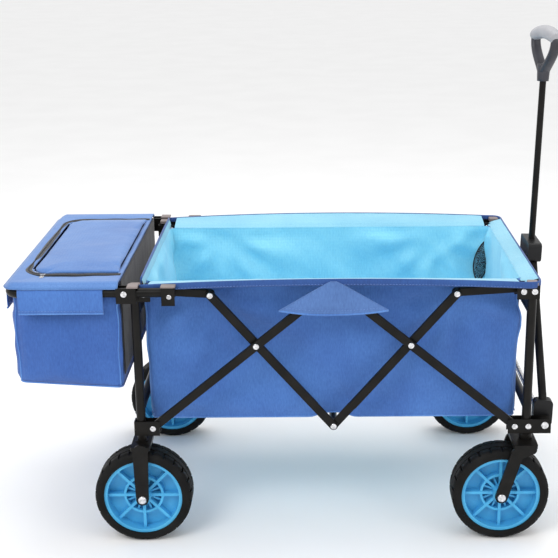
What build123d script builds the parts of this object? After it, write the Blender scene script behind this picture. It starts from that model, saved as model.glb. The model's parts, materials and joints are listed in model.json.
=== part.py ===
"""Folding beach cart with a rear cooler, a D-grip pull handle and swivelling front wheels.

Millimetres, +Z up, +X towards the pull handle, -Y is the cart's right side. The cart is laid out
about the middle of its basket, at ground level, and is moved at the end so that the origin lies
under the middle of its overall length. Paired pieces are modelled on the right and mirrored, and
most of the front end is the rear end mirrored.
"""
import os
from math import asin, atan2, cos, degrees, hypot, pi, sin

from build123d import *

# Overall layout
WHEEL_RADIUS = 101.5
POST_X = 400.0
POST_Y = 276.0
REAR_REACH = 661.5
FRONT_REACH = 482.2
SHIFT_X = (REAR_REACH - FRONT_REACH) / 2

# Round tubes
TUBE_RADIUS = 9.5
TUBE_WALL = 1.5
POST_BOTTOM = 220.0
POST_TOP = 552.0
CAP_HEIGHT = 7.0
LOW_CROSS_Z = 290.0
HIGH_CROSS_Z = 498.0

# Side linkage, given for the rear half of the right side as (x, z)
LOW_PIVOT = (-375.0, 248.5)
TOP_PIVOT = (-381.0, 540.0)
STUB_PIVOT = (-249.5, 532.0)
CENTRE_TOP = (0.0, 556.0)
CENTRE_LOW = (0.0, 245.5)
BAR_WIDTH = 18.0
BAR_THICKNESS = 10.0
LAYER_GAP = 1.5
LONG_BAR_Y = POST_Y + 4.0
SHORT_BAR_Y = LONG_BAR_Y - BAR_THICKNESS - LAYER_GAP
STUB_Y = SHORT_BAR_Y - BAR_THICKNESS - LAYER_GAP
LAP_LENGTH = 58.0
LAP_GAP = 0.4
CENTRE_TUBE_RADIUS = 8.0
FOLD_SPACING = 260.0

# Rivets and pins
PIN_RADIUS = 4.0
RUNNING_FIT = 0.05
HEAD_RADIUS = 6.5
HEAD_HEIGHT = 2.6

# Folded plate brackets
PLATE = 2.0
CHEEK_GAP = 0.2
BRACKET_OUT = POST_Y + TUBE_RADIUS + CHEEK_GAP
UPPER_INNER_CHEEK = STUB_Y - BAR_THICKNESS / 2 - 0.7
LOWER_INNER_CHEEK = POST_Y - TUBE_RADIUS - CHEEK_GAP

# Wheels and forks
TYRE_WIDTH = 66.0
RIM_RADIUS = 82.0
RIM_LIP = 7.0
RIM_WIDTH = 58.0
HUB_RADIUS = 16.0
MID_RING_RADIUS = 42.0
SPOKES = 8
TREAD_BLOCKS = 26
TREAD_DEPTH = 3.5
AXLE_RADIUS = 5.0
FORK_PLATE = 6.0
FORK_GAP = 4.0
FORK_CROWN_Z = 211.0
FORK_CROWN = 8.0
CASTER_TRAIL = 51.0
STEM_RADIUS = 6.0
SOCKET_RADIUS = 14.0
SOCKET_BOTTOM = 220.0
SOCKET_TOP = 232.0

# Basket
BASKET_X = 388.0
BASKET_Y = 245.0
BASKET_BOTTOM = 257.0
FLARE_START = 552.0
RIM_Y = 271.0
RIM_TOP = 571.0
CLOTH = 3.0
FLOOR_THICKNESS = 8.0
FLAP_Y = 290.0
FLAP_THICKNESS = 1.8

# Cooler rack and bag
RACK_Y = 301.0
RACK_REAR = 650.0
RACK_Z = 548.0
RACK_FRONT = 316.0
RACK_BEND = 28.0
RACK_PIVOT_X = -417.0
HOOK_X = -327.0
BAG_FRONT = -428.0
BAG_REAR = -639.0
BAG_Y = 287.0
BAG_BOTTOM = 358.0
BAG_TOP = 565.5
BAG_WALL = 8.0
BAG_CORNER = 20.0
LID_FRONT = -434.0
LID_REAR = -624.0
LID_Y = 236.0
LID_THICKNESS = 5.0
LID_BORDER = 6.0
SLEEVE_BOTTOM = 508.0
SLEEVE_FRONT = -459.0
SLEEVE_WALL = 1.6
REAR_SLEEVE_Y = 268.0

# Pull handle, laid out upright over its axle and then leaned forward
HANDLE_AXLE = (437.0, 251.0)
HANDLE_AXLE_RADIUS = 6.0
HANDLE_LEAN = 1.3
LEG_RADIUS = 8.5
FOOT_Y = 250.0
FOOT_THICKNESS = 22.0
FOOT_HEIGHT = 44.0
LEG_TOP_Y = 36.0
BLOCK_BOTTOM = 535.0
BLOCK_TOP = 577.0
BLOCK_DEPTH = 30.0
BLOCK_WIDTH = 104.0
POLE_RADIUS = 7.0
POLE_WALL = 1.5
POLE_TOP = 938.0
BUTTON_RADIUS = 7.0
BUTTON_TRAVEL = 4.0
GRIP_BOTTOM = 922.0
GRIP_TOP = 1041.0
GRIP_WIDTH = 112.0
GRIP_TURN = 14.0


def pair(*shapes):
    """The right-hand solids together with their left-hand mirror images."""
    return list(shapes) + [mirror(shape, about=Plane.XZ) for shape in shapes]


def front(shapes):
    """The same solids mirrored from the rear end to the front end."""
    return [mirror(shape, about=Plane.YZ) for shape in shapes]


def box(x_range, y_range, z_range):
    """A box between two limits along each axis."""
    sizes = [high - low for low, high in (x_range, y_range, z_range)]
    middle = [(high + low) / 2 for low, high in (x_range, y_range, z_range)]
    return Pos(*middle) * Box(*sizes)


def rod(start, end, radius):
    """A round rod between two points."""
    axis = Vector(*end) - Vector(*start)
    return Solid.make_cylinder(radius, axis.length, Plane(origin=start, z_dir=axis))


def sealed_tube(start, end, radius=TUBE_RADIUS, wall=TUBE_WALL):
    """A round tube that is plugged at both ends."""
    direction = (Vector(*end) - Vector(*start)).normalized()
    inner_start = Vector(*start) + direction * wall
    inner_end = Vector(*end) - direction * wall
    return rod(start, end, radius) - rod(inner_start, inner_end, radius - wall)


def pin(x, z, y_inner, y_outer, radius=PIN_RADIUS):
    """A plain shaft on the right side, from its inner to its outer end."""
    return rod((x, -y_inner, z), (x, -y_outer, z), radius)


def rivet_head(x, z, y_face, outward=True, radius=HEAD_RADIUS, height=HEAD_HEIGHT):
    """A domed head that lies on a face of the right side."""
    direction = (0, -1, 0) if outward else (0, 1, 0)
    plane = Plane(origin=(x, -y_face, z), z_dir=direction)
    head = plane * extrude(Circle(radius), height)
    return fillet(head.faces().sort_by(Axis((0, 0, 0), direction))[-1].edges(), height * 0.7)


def bar_plane(start, end, y_centre):
    """Local axes at the middle of a bar: x along the bar and z outward, on the right side."""
    middle = ((start[0] + end[0]) / 2, -y_centre, (start[1] + end[1]) / 2)
    along = (end[0] - start[0], 0, end[1] - start[1])
    return Plane(origin=middle, x_dir=along, z_dir=(0, -1, 0))


def flat_bar(start, end, y_centre, holes=(), lap=None):
    """A flat oval bar with round ends, drilled at the holes and halved at its end if lapped.

    lap is "outer" or "inner", the half of the thickness that is kept next to the end point.
    """
    length = hypot(end[0] - start[0], end[1] - start[1])
    half = BAR_THICKNESS / 2
    blank = extrude(SlotCenterToCenter(length, BAR_WIDTH), half, both=True)
    faces = blank.faces().sort_by(Axis.Z)
    blank = fillet(faces[0].edges() + faces[-1].edges(), 2.5)
    if lap:
        cut_x = (length / 2 - LAP_LENGTH, length / 2 + BAR_WIDTH)
        cut_z = (-half, LAP_GAP / 2) if lap == "outer" else (-LAP_GAP / 2, half)
        blank -= box(cut_x, (-BAR_WIDTH, BAR_WIDTH), cut_z)
    for hole in holes:
        at = hypot(hole[0] - start[0], hole[1] - start[1]) - length / 2
        blank -= Pos(at, 0, 0) * Cylinder(PIN_RADIUS + RUNNING_FIT, 2 * BAR_THICKNESS)
    return bar_plane(start, end, y_centre) * blank


def crossing():
    """Where the long bar and the short bar of the rear half cross, as (x, z)."""
    long_slope = (CENTRE_TOP[1] - LOW_PIVOT[1]) / (CENTRE_TOP[0] - LOW_PIVOT[0])
    short_slope = (CENTRE_LOW[1] - STUB_PIVOT[1]) / (CENTRE_LOW[0] - STUB_PIVOT[0])
    x = (CENTRE_LOW[1] - CENTRE_TOP[1]) / (long_slope - short_slope)
    return (x, CENTRE_TOP[1] + long_slope * x)


def mirrored(point):
    """The same linkage point on the front half."""
    return (-point[0], point[1])


def fold_angles():
    """How far each kind of link turns over the whole fold, in degrees: long, short and stub."""
    cross = crossing()
    length = hypot(*(a - b for a, b in zip(CENTRE_TOP, LOW_PIVOT)))
    low_reach = hypot(*(a - b for a, b in zip(cross, LOW_PIVOT)))
    short_low = hypot(*(a - b for a, b in zip(cross, CENTRE_LOW)))
    short_high = hypot(*(a - b for a, b in zip(cross, STUB_PIVOT)))
    open_long = asin((CENTRE_TOP[1] - LOW_PIVOT[1]) / length)
    overhang = POST_X + LOW_PIVOT[0]
    shut_long = pi / 2 - asin((FOLD_SPACING / 2 - overhang) / length)
    open_short = asin((cross[1] - CENTRE_LOW[1]) / short_low)
    shut_short = pi / 2 - asin((length - low_reach) * cos(shut_long) / short_low)
    tip_x = LOW_PIVOT[0] + low_reach * cos(shut_long) - short_high * cos(shut_short)
    tip_z = LOW_PIVOT[1] + low_reach * sin(shut_long) + short_high * sin(shut_short)
    open_stub = atan2(STUB_PIVOT[1] - TOP_PIVOT[1], STUB_PIVOT[0] - TOP_PIVOT[0])
    shut_stub = atan2(tip_z - TOP_PIVOT[1], tip_x - TOP_PIVOT[0])
    return (
        degrees(shut_long - open_long),
        degrees(shut_short - open_short),
        degrees(shut_stub - open_stub),
    )


# End frames

def posts(bottom=POST_BOTTOM):
    return pair(sealed_tube((-POST_X, -POST_Y, bottom), (-POST_X, -POST_Y, POST_TOP)))


def cross_tube(z):
    reach = POST_Y - TUBE_RADIUS
    return [sealed_tube((-POST_X, -reach, z), (-POST_X, reach, z))]


def post_caps():
    """Moulded covers on the post tops."""
    cover = box((-POST_X - 10.5, -POST_X + 11), (-POST_Y - 11.5, -POST_Y + 11.5),
                (POST_TOP, POST_TOP + CAP_HEIGHT))
    cover = fillet(cover.edges().filter_by(Axis.Z), 3)
    return pair(fillet(cover.faces().sort_by(Axis.Z)[-1].edges(), 2))


def upper_brackets():
    """A folded plate that wraps the outside of the post and carries the stub link."""
    x_range = (-POST_X - 13.7, TOP_PIVOT[0] + 13)
    z_range = (TOP_PIVOT[1] - 16, POST_TOP)
    outer = box(x_range, (-BRACKET_OUT - PLATE, -BRACKET_OUT), z_range)
    inner = box(x_range, (-UPPER_INNER_CHEEK, -UPPER_INNER_CHEEK + PLATE), z_range)
    web_x = (x_range[0], x_range[0] + PLATE)
    web = box(web_x, (-BRACKET_OUT - PLATE, -UPPER_INNER_CHEEK + PLATE), z_range)
    return pair(outer + inner + web)


def lower_bracket(reach_out, web_x, web_z):
    """A folded plate around the foot of the post that carries the long bar."""
    x_range = (-POST_X - reach_out, LOW_PIVOT[0] + 14)
    z_range = (LOW_PIVOT[1] - 15.5, LOW_PIVOT[1] + 15.5)
    outer = box(x_range, (-BRACKET_OUT - PLATE, -BRACKET_OUT), z_range)
    inner = box(x_range, (-LOWER_INNER_CHEEK, -LOWER_INNER_CHEEK + PLATE), z_range)
    web = box(web_x, (-BRACKET_OUT - PLATE, -LOWER_INNER_CHEEK + PLATE), web_z)
    return outer + inner + web


def rear_lower_brackets():
    edge = -POST_X - 13.7
    z_range = (LOW_PIVOT[1] - 15.5, LOW_PIVOT[1] + 15.5)
    return pair(lower_bracket(13.7, (edge, edge + PLATE), z_range))


def front_lower_brackets():
    """The front plates reach forward to carry the handle's cross axle as well."""
    reach_out = HANDLE_AXLE[0] - POST_X + 13
    bottom = LOW_PIVOT[1] - 15.5
    plate = lower_bracket(reach_out, (-POST_X - reach_out, -POST_X - 16), (bottom, bottom + PLATE))
    plate -= rod((-HANDLE_AXLE[0], -POST_Y, HANDLE_AXLE[1]),
                 (-HANDLE_AXLE[0], -FOOT_Y, HANDLE_AXLE[1]), HANDLE_AXLE_RADIUS + RUNNING_FIT)
    return front(pair(plate))


def frame_rivets(on_posts):
    """Pivot shafts between the cheeks with a head on each cheek, and perhaps one on the post."""
    rivets = []
    for point, inner_cheek in ((TOP_PIVOT, UPPER_INNER_CHEEK), (LOW_PIVOT, LOWER_INNER_CHEEK)):
        rivets.append(pin(*point, inner_cheek, BRACKET_OUT))
        rivets.append(rivet_head(*point, BRACKET_OUT + PLATE))
        rivets.append(rivet_head(*point, inner_cheek - PLATE, outward=False))
        if on_posts:
            rivets.append(rivet_head(-POST_X - 3, point[1], BRACKET_OUT + PLATE))
    return pair(*rivets)


# Side linkage

def long_bars(lap):
    holes = (LOW_PIVOT, crossing(), CENTRE_TOP)
    return pair(flat_bar(LOW_PIVOT, CENTRE_TOP, LONG_BAR_Y, holes, lap))


def short_bars(lap):
    return pair(flat_bar(STUB_PIVOT, CENTRE_LOW, SHORT_BAR_Y, (crossing(),), lap))


def stub_links():
    return pair(flat_bar(TOP_PIVOT, STUB_PIVOT, STUB_Y, (TOP_PIVOT,)))


def through_rivet(point, y_inner, y_outer):
    """A rivet whose shaft joins its two heads, through everything between two faces."""
    shaft = pin(*point, y_inner, y_outer)
    outer = rivet_head(*point, y_outer)
    inner = rivet_head(*point, y_inner, outward=False, height=1.0)
    return shaft + outer + inner


def long_bar_rivets(with_centre):
    half = BAR_THICKNESS / 2
    rivets = [through_rivet(crossing(), SHORT_BAR_Y - half, LONG_BAR_Y + half)]
    if with_centre:
        rivets.append(through_rivet(CENTRE_TOP, LONG_BAR_Y - half, LONG_BAR_Y + half))
    return pair(*rivets)


def stub_end_rivets():
    return pair(rivet_head(*STUB_PIVOT, SHORT_BAR_Y + BAR_THICKNESS / 2))


def centre_low_rivets():
    return pair(rivet_head(*CENTRE_LOW, SHORT_BAR_Y + BAR_THICKNESS / 2))


def centre_cross_tube():
    """The tube under the basket that ties the two lower centre joints together."""
    reach = SHORT_BAR_Y - BAR_THICKNESS / 2
    x, z = CENTRE_LOW
    return [sealed_tube((x, -reach, z), (x, reach, z), CENTRE_TUBE_RADIUS)]


# Wheels, built about their own axle and then put in place

def wheel_place(x, side):
    return Pos(x, side * POST_Y, WHEEL_RADIUS) * Rot(90, 0, 0)


def ring(outer, inner, width):
    return Cylinder(outer, width) - Cylinder(inner, width + 2)


def rim():
    """A moulded rim: lipped barrel, thin web, eight spokes, a middle ring and a bored hub."""
    body = ring(RIM_RADIUS, RIM_RADIUS - RIM_LIP, RIM_WIDTH)
    body += Cylinder(RIM_RADIUS - RIM_LIP / 2, 5)
    body += ring(MID_RING_RADIUS, MID_RING_RADIUS - 5, RIM_WIDTH - 22)
    body += Cylinder(HUB_RADIUS, TYRE_WIDTH)
    spoke_length = RIM_RADIUS - RIM_LIP / 2 - HUB_RADIUS / 2
    for location in PolarLocations(HUB_RADIUS / 2 + spoke_length / 2, SPOKES):
        body += location * Box(spoke_length, 6, RIM_WIDTH - 20)
    rib_length = MID_RING_RADIUS - HUB_RADIUS
    for location in PolarLocations((MID_RING_RADIUS + HUB_RADIUS) / 2 - 2, SPOKES, 180 / SPOKES):
        body += location * Box(rib_length, 4, RIM_WIDTH - 34)
    return body - Cylinder(AXLE_RADIUS + RUNNING_FIT, TYRE_WIDTH + 2)


def tyre():
    """A wide low tyre with two grooves around it and cross cuts that leave tread blocks."""
    body = ring(WHEEL_RADIUS, RIM_RADIUS + 0.05, TYRE_WIDTH)
    rim_edges = body.edges().filter_by(GeomType.CIRCLE).sort_by(lambda edge: edge.radius)[-2:]
    body = fillet(rim_edges, 12)
    for z in (-10, 10):
        body -= Pos(0, 0, z) * ring(WHEEL_RADIUS + 1, WHEEL_RADIUS - TREAD_DEPTH, 3)
    for side in (-1, 1):
        start = 0 if side < 0 else 180 / TREAD_BLOCKS
        for location in PolarLocations(WHEEL_RADIUS, TREAD_BLOCKS, start):
            body -= location * Pos(0, 0, side * 24) * Box(2 * TREAD_DEPTH, 5, 25)
    return body


def fork_leg_pair(outline):
    """One fork plate on each side of the tyre, from an outline in the wheel's plane."""
    inner = TYRE_WIDTH / 2 + FORK_GAP
    plates = []
    for offset in (inner, -inner - FORK_PLATE):
        plane = Plane(origin=(0, -POST_Y - offset, 0), x_dir=(1, 0, 0), z_dir=(0, -1, 0))
        plates.append(plane * extrude(outline, FORK_PLATE))
    return plates[0] + plates[1]


def crown(x_range):
    reach = TYRE_WIDTH / 2 + FORK_GAP + FORK_PLATE
    plate = box(x_range, (-POST_Y - reach, -POST_Y + reach), (FORK_CROWN_Z, FORK_CROWN_Z + FORK_CROWN))
    return fillet(plate.edges().filter_by(Axis.Z), 5)


def strut(start, start_radius, end, end_radius):
    """The flat outline of a strut that runs straight from one round end to another."""
    discs = [Pos(*start) * Circle(start_radius), Pos(*end) * Circle(end_radius)]
    return make_hull([edge for disc in discs for edge in disc.edges()])


def rear_forks():
    """Straight fixed forks that hang from the rear posts."""
    top = (-POST_X, FORK_CROWN_Z - 3)
    legs = fork_leg_pair(strut(top, 16, (-POST_X, WHEEL_RADIUS), 13))
    return pair(legs + crown((-POST_X - 20, -POST_X + 20)) + fork_neck(-POST_X))


def fork_neck(x):
    """The short boss that joins a fixed fork to its post."""
    height = POST_BOTTOM - FORK_CROWN_Z - FORK_CROWN
    return Pos(x, -POST_Y, POST_BOTTOM - height / 2) * Cylinder(SOCKET_RADIUS, height)


def caster_fork(side):
    """A swivelling fork whose cranked legs trail behind its upright stem."""
    knee = (POST_X - 22, FORK_CROWN_Z - 12)
    hub = (POST_X - CASTER_TRAIL, WHEEL_RADIUS)
    outline = strut((POST_X + 8, FORK_CROWN_Z - 2), 10, knee, 13) + strut(knee, 13, hub, 13)
    fork = fork_leg_pair(outline) + crown((POST_X - 30, POST_X + 20))
    stem_top = SOCKET_TOP - 1
    stem_bottom = FORK_CROWN_Z + FORK_CROWN / 2
    fork += rod((POST_X, -POST_Y, stem_bottom), (POST_X, -POST_Y, stem_top), STEM_RADIUS)
    return [fork if side < 0 else mirror(fork, about=Plane.XZ)]


def caster_sockets():
    """The bearing cups under the front posts, each bored for a caster's stem."""
    height = SOCKET_TOP - SOCKET_BOTTOM
    cup = Pos(POST_X, -POST_Y, SOCKET_BOTTOM + height / 2) * Cylinder(SOCKET_RADIUS, height)
    cup -= rod((POST_X, -POST_Y, SOCKET_BOTTOM - 1), (POST_X, -POST_Y, SOCKET_TOP - 0.5),
               STEM_RADIUS + RUNNING_FIT)
    return pair(cup)


def axles(x):
    """The axle between the fork plates and the bolt head outside each plate."""
    inner = TYRE_WIDTH / 2 + FORK_GAP
    face = POST_Y + inner + FORK_PLATE
    back_face = POST_Y - inner - FORK_PLATE
    shaft = pin(x, WHEEL_RADIUS, POST_Y - inner, POST_Y + inner, AXLE_RADIUS)
    bolt = rivet_head(x, WHEEL_RADIUS, face, radius=9, height=5)
    nut = rivet_head(x, WHEEL_RADIUS, back_face, outward=False, radius=8, height=4)
    return [shaft, bolt, nut]


def one_side(solids, side):
    return solids if side < 0 else [mirror(solid, about=Plane.XZ) for solid in solids]


# Basket

def basket_section(inset):
    """Half-open tub outline in the YZ plane, drawn in from the outer skin by inset."""
    wall = BASKET_Y - inset
    edge = RIM_Y - inset
    bottom = BASKET_BOTTOM + inset
    top = RIM_TOP + (2 if inset else 0)
    points = [(-wall, bottom), (wall, bottom), (wall, FLARE_START), (edge, top),
              (-edge, top), (-wall, FLARE_START)]
    return make_face(Polyline(*points, close=True))


def basket_tub():
    outer = Plane.YZ * basket_section(0)
    inner = Plane.YZ * basket_section(CLOTH)
    tub = extrude(outer, BASKET_X, both=True) - extrude(inner, BASKET_X - CLOTH, both=True)
    return [tub]


def floor_board():
    reach_x = BASKET_X - CLOTH - 2
    reach_y = BASKET_Y - CLOTH - 2
    bottom = BASKET_BOTTOM + CLOTH
    return [box((-reach_x, reach_x), (-reach_y, reach_y), (bottom, bottom + FLOOR_THICKNESS))]


def side_flaps():
    """A triangular flap on each side that hangs from the rim over the top centre joint."""
    corners = [(0, RIM_TOP), (-108, 510), (0, 497), (108, 503)]
    plane = Plane(origin=(0, -FLAP_Y, 0), x_dir=(1, 0, 0), z_dir=(0, -1, 0))
    flap = plane * extrude(make_face(Polyline(*corners, close=True)), FLAP_THICKNESS)
    tab = box((-14, 14), (-FLAP_Y, -RIM_Y), (CENTRE_TOP[1] + 11, RIM_TOP))
    return pair(flap + tab)


# Cooler

def rack_path(inset):
    """The centre line of the rack tube: two side arms and a rear run with bent corners."""
    start = -RACK_FRONT - inset
    corner = -RACK_REAR + RACK_BEND
    run = RACK_Y - RACK_BEND
    arm = Line((start, -RACK_Y, RACK_Z), (corner, -RACK_Y, RACK_Z))
    bend = RadiusArc((corner, -RACK_Y, RACK_Z), (-RACK_REAR, -run, RACK_Z), RACK_BEND)
    rear = Line((-RACK_REAR, -run, RACK_Z), (-RACK_REAR, run, RACK_Z))
    far_bend = RadiusArc((-RACK_REAR, run, RACK_Z), (corner, RACK_Y, RACK_Z), RACK_BEND)
    far_arm = Line((corner, RACK_Y, RACK_Z), (start, RACK_Y, RACK_Z))
    return Wire([arm, bend, rear, far_bend, far_arm])


def swept_rack(inset, radius):
    path = rack_path(inset)
    section = Plane(origin=path @ 0, z_dir=path % 0) * Circle(radius)
    return sweep(section, path=path)


def cooler_rack():
    tube = swept_rack(0, TUBE_RADIUS) - swept_rack(TUBE_WALL, TUBE_RADIUS - TUBE_WALL)
    for side in (-1, 1):
        tube -= rod((RACK_PIVOT_X, side * (RACK_Y - 15), RACK_Z),
                    (RACK_PIVOT_X, side * (RACK_Y + 15), RACK_Z), PIN_RADIUS + RUNNING_FIT)
    return [tube]


def cooler_saddles():
    """Clips on the rear corner brackets; the web over the tube is the rack's stop.

    The web starts in front of the pivot, so that the tube has room behind it as the rack lifts.
    """
    outer_face = RACK_Y + TUBE_RADIUS + 0.5
    inner_face = RACK_Y - TUBE_RADIUS - 0.5
    x_range = (RACK_PIVOT_X - 16, RACK_PIVOT_X + 24)
    z_range = (RACK_Z - 20, RACK_Z + TUBE_RADIUS + 0.5 + PLATE)
    outer = box(x_range, (-outer_face - PLATE, -outer_face), z_range)
    inner = box(x_range, (-inner_face, -BRACKET_OUT - PLATE), z_range)
    web_y = (-outer_face - PLATE, -BRACKET_OUT - PLATE)
    stop = box((RACK_PIVOT_X + 6, x_range[1]), web_y, (z_range[1] - PLATE, z_range[1]))
    seat = box((x_range[0], RACK_PIVOT_X), web_y, (z_range[0], z_range[0] + PLATE))
    return pair(outer + inner + stop + seat)


def rack_covers():
    """Moulded covers that sit on the saddles' webs."""
    x_range = (RACK_PIVOT_X + 6, RACK_PIVOT_X + 28)
    bottom = RACK_Z + TUBE_RADIUS + 0.5 + PLATE
    cover = box(x_range, (-RACK_Y - 12, -RACK_Y + 12.5), (bottom, bottom + 4))
    return pair(fillet(cover.faces().sort_by(Axis.Z)[-1].edges(), 1.5))


def saddle_rivets():
    outer_face = RACK_Y + TUBE_RADIUS + 0.5
    inner_face = RACK_Y - TUBE_RADIUS - 0.5
    shaft = pin(RACK_PIVOT_X, RACK_Z, inner_face, outer_face)
    head = rivet_head(RACK_PIVOT_X, RACK_Z, outer_face + PLATE)
    return pair(shaft, head)


def stub_hooks():
    """Hooks on the front ends of the rack that reach in under the stub links.

    The tray is short and to the rear, clear of the bars when they stand up in the fold.
    """
    outer_face = RACK_Y + TUBE_RADIUS
    x_range = (HOOK_X - 16, HOOK_X + 11)
    tray_x = (HOOK_X - 16, HOOK_X - 4)
    floor_z = (STUB_PIVOT[1] - 9, STUB_PIVOT[1] - 9 + PLATE)
    top_z = (RACK_Z + TUBE_RADIUS, RACK_Z + TUBE_RADIUS + PLATE)
    cheek = box(x_range, (-outer_face - PLATE, -outer_face), (floor_z[0], top_z[1]))
    cheek += box(x_range, (-outer_face - PLATE, -RACK_Y + TUBE_RADIUS), top_z)
    tray = box(tray_x, (-outer_face - PLATE, -STUB_Y + 8), floor_z)
    lip_y = (-STUB_Y + 8 - PLATE, -STUB_Y + 8)
    lip = box(tray_x, lip_y, (floor_z[0], floor_z[1] + 5))
    return pair(cheek + tray + lip)


def cooler_bag():
    """A box-shaped insulated bag with a rectangular opening in its top."""
    outer = box((BAG_REAR, BAG_FRONT), (-BAG_Y, BAG_Y), (BAG_BOTTOM, BAG_TOP))
    outer = fillet(outer.edges().filter_by(Axis.Z).sort_by(Axis.X)[:2], BAG_CORNER)
    cavity = box((BAG_REAR + BAG_WALL, BAG_FRONT - BAG_WALL), (-BAG_Y + BAG_WALL, BAG_Y - BAG_WALL),
                 (BAG_BOTTOM + BAG_WALL, BAG_TOP - BAG_WALL))
    mouth = box((LID_REAR + LID_BORDER, LID_FRONT - LID_BORDER), (-LID_Y + LID_BORDER, LID_Y - LID_BORDER),
                (BAG_TOP - 2 * BAG_WALL, BAG_TOP + 1))
    return [outer - cavity - mouth]


def cooler_back_panel():
    return [box((BAG_FRONT, BAG_FRONT + 2), (-BAG_Y + 9, BAG_Y - 9), (BAG_BOTTOM + 9, BAG_TOP - 1))]


def cooler_lid():
    bottom = BAG_TOP + 0.5
    lid = box((LID_REAR, LID_FRONT), (-LID_Y, LID_Y), (bottom, bottom + LID_THICKNESS))
    corners = lid.edges().filter_by(Axis.Z).sort_by(Axis.X)[:2]
    return [fillet(corners, 30)]


def zip_slider():
    """The slider of the lid's zip, with its pull hanging to the outside."""
    z = BAG_TOP + 0.3
    body = box((-596, -584), (-LID_Y - 9, -LID_Y - 1), (z, z + 5))
    pull = box((-594, -586), (-LID_Y - 27, -LID_Y - 7), (z + 1.5, z + 3.5))
    return [fillet(body.edges().filter_by(Axis.Z), 2) + pull]


def cooler_sleeves():
    """Fabric sleeves that wrap the rack tube along each side arm and along the rear run."""
    clear = TUBE_RADIUS + 0.4
    wrap = clear + SLEEVE_WALL
    arm_x = (-RACK_REAR + RACK_BEND + 1, SLEEVE_FRONT)
    arm = box(arm_x, (-RACK_Y - wrap, -RACK_Y + wrap), (SLEEVE_BOTTOM, RACK_Z + wrap))
    arm -= box((arm_x[0] - 1, arm_x[1] + 1), (-RACK_Y - clear, -RACK_Y + clear),
               (RACK_Z - clear, RACK_Z + clear))
    rear_y = (-REAR_SLEEVE_Y, REAR_SLEEVE_Y)
    rear_x = (-RACK_REAR - wrap, -RACK_REAR + clear + 0.6)
    rear = box(rear_x, rear_y, (SLEEVE_BOTTOM, RACK_Z + wrap))
    rear -= box((-RACK_REAR - clear, -RACK_REAR + clear), (rear_y[0] - 1, rear_y[1] + 1),
                (RACK_Z - clear, RACK_Z + clear))
    return pair(arm) + [rear]


# Pull handle

def leaned(solids):
    """Lean handle solids forward about the cross axle."""
    axis = Axis((HANDLE_AXLE[0], 0, HANDLE_AXLE[1]), (0, 1, 0))
    return [solid.rotate(axis, HANDLE_LEAN) for solid in solids]


def handle_axle():
    """The cross axle between the front lower brackets, with a head outside each."""
    x, z = HANDLE_AXLE
    shaft = rod((x, -BRACKET_OUT, z), (x, BRACKET_OUT, z), HANDLE_AXLE_RADIUS)
    return [shaft] + pair(rivet_head(x, z, BRACKET_OUT + PLATE, radius=8))


def handle_feet():
    """Blocks that turn on the cross axle and hold the lower ends of the legs."""
    x, z = HANDLE_AXLE
    y_range = (-FOOT_Y - FOOT_THICKNESS / 2, -FOOT_Y + FOOT_THICKNESS / 2)
    foot = box((x - 20, x + 20), y_range, (z - 12, z + FOOT_HEIGHT))
    foot = fillet(foot.edges().filter_by(Axis.Y), 9)
    foot -= rod((x, -POST_Y, z), (x, 0, z), HANDLE_AXLE_RADIUS + RUNNING_FIT)
    return leaned(pair(foot))


def trimmed_leg(radius, bottom, top):
    """One splayed leg of a given radius, cut off level at its bottom and top."""
    x = HANDLE_AXLE[0]
    low = Vector(x, -FOOT_Y + 4, HANDLE_AXLE[1] + FOOT_HEIGHT)
    high = Vector(x, -LEG_TOP_Y, BLOCK_BOTTOM)
    along = (high - low).normalized() * 3 * radius
    slab = box((x - 2 * radius, x + 2 * radius), (-2 * FOOT_Y, 0), (bottom, top))
    return rod(tuple(low - along), tuple(high + along), radius) & slab


def handle_legs():
    """Two splayed tubes from the feet up to the block, plugged at their ends."""
    bottom = HANDLE_AXLE[1] + FOOT_HEIGHT
    leg = trimmed_leg(LEG_RADIUS, bottom, BLOCK_BOTTOM)
    leg -= trimmed_leg(LEG_RADIUS - TUBE_WALL, bottom + TUBE_WALL, BLOCK_BOTTOM - TUBE_WALL)
    return leaned(pair(leg))


def handle_block():
    """The moulded block that joins the legs and guides the pole."""
    x = HANDLE_AXLE[0]
    half = BLOCK_DEPTH / 2
    block = box((x - half, x + half), (-BLOCK_WIDTH / 2, BLOCK_WIDTH / 2), (BLOCK_BOTTOM, BLOCK_TOP))
    block = fillet(block.edges().filter_by(Axis.X), 10)
    block = fillet(block.faces().sort_by(Axis.X)[-1].edges(), 3)
    block -= rod((x, 0, BLOCK_BOTTOM - 1), (x, 0, BLOCK_TOP + 1), POLE_RADIUS + RUNNING_FIT)
    middle = (BLOCK_BOTTOM + BLOCK_TOP) / 2
    block -= rod((x + POLE_RADIUS + 1, 0, middle), (x + 30, 0, middle), BUTTON_RADIUS + RUNNING_FIT)
    return leaned([block])


def lock_button():
    x = HANDLE_AXLE[0]
    middle = (BLOCK_BOTTOM + BLOCK_TOP) / 2
    outer = x + BLOCK_DEPTH / 2 + BUTTON_TRAVEL
    button = rod((x + POLE_RADIUS + 2 + BUTTON_TRAVEL, 0, middle), (outer, 0, middle), BUTTON_RADIUS)
    return leaned([fillet(button.faces().sort_by(Axis.X)[-1].edges(), 1.5)])


def handle_pole():
    x = HANDLE_AXLE[0]
    return leaned([sealed_tube((x, 0, BLOCK_BOTTOM - 4), (x, 0, POLE_TOP), POLE_RADIUS, POLE_WALL)])


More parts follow.
